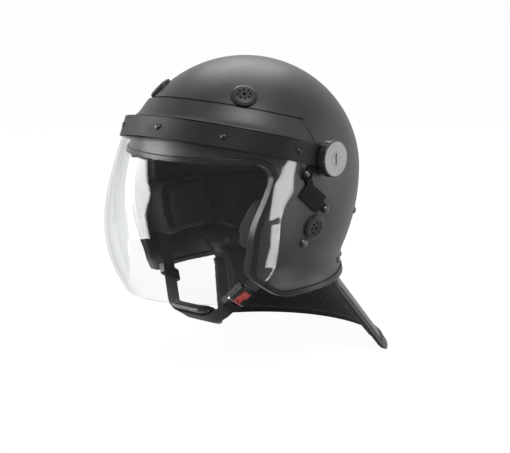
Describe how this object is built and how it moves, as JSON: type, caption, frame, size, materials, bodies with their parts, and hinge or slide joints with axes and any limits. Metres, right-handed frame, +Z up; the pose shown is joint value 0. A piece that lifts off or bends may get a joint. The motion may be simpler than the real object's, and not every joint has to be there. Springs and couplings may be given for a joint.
{
  "type": "riot helmet",
  "caption": "Protective helmet with a lifting clear bubble visor, pivot knobs, vents, chin strap with a quick-release buckle, and a flexible neck guard.",
  "frame": {"origin": "where the crown of the wearer's head seats, on the inner face of the crown pad", "axes": "+Z up, -Y the way the wearer faces, +X towards the wearer's left"},
  "size_m": [0.28, 0.366, 0.3432],
  "materials": {
    "shell": "matt",
    "trim_rubber": "matt",
    "visor_clear": "clear",
    "band_black": "pebbled",
    "hard_black": "satin",
    "foam": "matt",
    "lining": "matt",
    "webbing": "woven",
    "keeper_black": "matt",
    "guard_cover": "grained",
    "steel": "satin",
    "eyelet_metal": "satin",
    "lever_red": "satin",
    "tongue_plastic": "satin"
  },
  "bodies": {
    "helmet": {"outer_shell": "shell", "edge_trim": "trim_rubber", "crown_vent_left": "hard_black", "crown_vent_right": "hard_black", "ear_vent_left": "hard_black", "ear_vent_right": "hard_black", "vent_rings": "hard_black", "pivot_base_left": "hard_black", "pivot_base_right": "hard_black", "impact_foam": "foam", "cheek_block_left": "foam", "cheek_block_right": "foam", "comfort_ring": "lining", "crown_pad": "lining", "cheek_pad_left": "lining", "cheek_pad_right": "lining", "nape_pad": "lining", "guard_pad": "lining", "mask_strap_keeper_left": "keeper_black", "mask_strap_keeper_right": "keeper_black", "neck_guard": "guard_cover", "guard_binding": "guard_cover", "pivot_nut_left": "steel", "pivot_nut_right": "steel", "rear_rivets": "steel", "mask_strap_rivets": "steel", "anchor_rivets": "steel", "anchor_spacers": "steel", "guard_screws": "steel", "mask_strap_eyelets": "eyelet_metal"},
    "visor": {"visor": "visor_clear", "visor_band": "band_black", "visor_seal": "trim_rubber", "band_screws": "steel", "band_nuts": "steel"},
    "knob_left": {"knob_left": "hard_black", "pivot_screw_left": "steel", "friction_washer_left": "trim_rubber"},
    "knob_right": {"knob_right": "hard_black", "pivot_screw_right": "steel", "friction_washer_right": "trim_rubber"},
    "chin_strap": {"chin_strap_left": "webbing", "chin_strap_right": "webbing", "buckle_frame": "steel", "buckle_tongue": "tongue_plastic", "lever_pin": "steel", "lever_spring": "steel", "chin_cup": "hard_black", "chin_cup_pad": "lining", "strap_slider": "hard_black"},
    "release_lever": {"release_lever": "lever_red"}
  },
  "joints": [
    {"name": "visor_lift", "type": "hinge", "parent": "helmet", "child": "visor", "pos_m": [0, -0.006, -0.0644], "axis": [-1, 0, 0], "range_deg": [0, 85]},
    {"name": "knob_left_turn", "type": "hinge", "parent": "helmet", "child": "knob_left", "pos_m": [0.135, -0.006, -0.0644], "axis": [1, 0, 0], "range_deg": [0, 180]},
    {"name": "knob_right_turn", "type": "hinge", "parent": "helmet", "child": "knob_right", "pos_m": [-0.135, -0.006, -0.0644], "axis": [-1, 0, 0], "range_deg": [0, 180]},
    {"name": "chin_strap_swing", "type": "hinge", "parent": "helmet", "child": "chin_strap", "pos_m": [0, -0.02775, -0.15778], "axis": [-1, 0, 0], "range_deg": [-15, 15]},
    {"name": "release_lever_open", "type": "hinge", "parent": "chin_strap", "child": "release_lever", "pos_m": [0.05009, -0.06911, -0.22661], "axis": [0, 0.8572, -0.515], "range_deg": [0, 25], "stiffness_Nm_per_rad": 0.02, "springref_deg": -2.86}
  ]
}
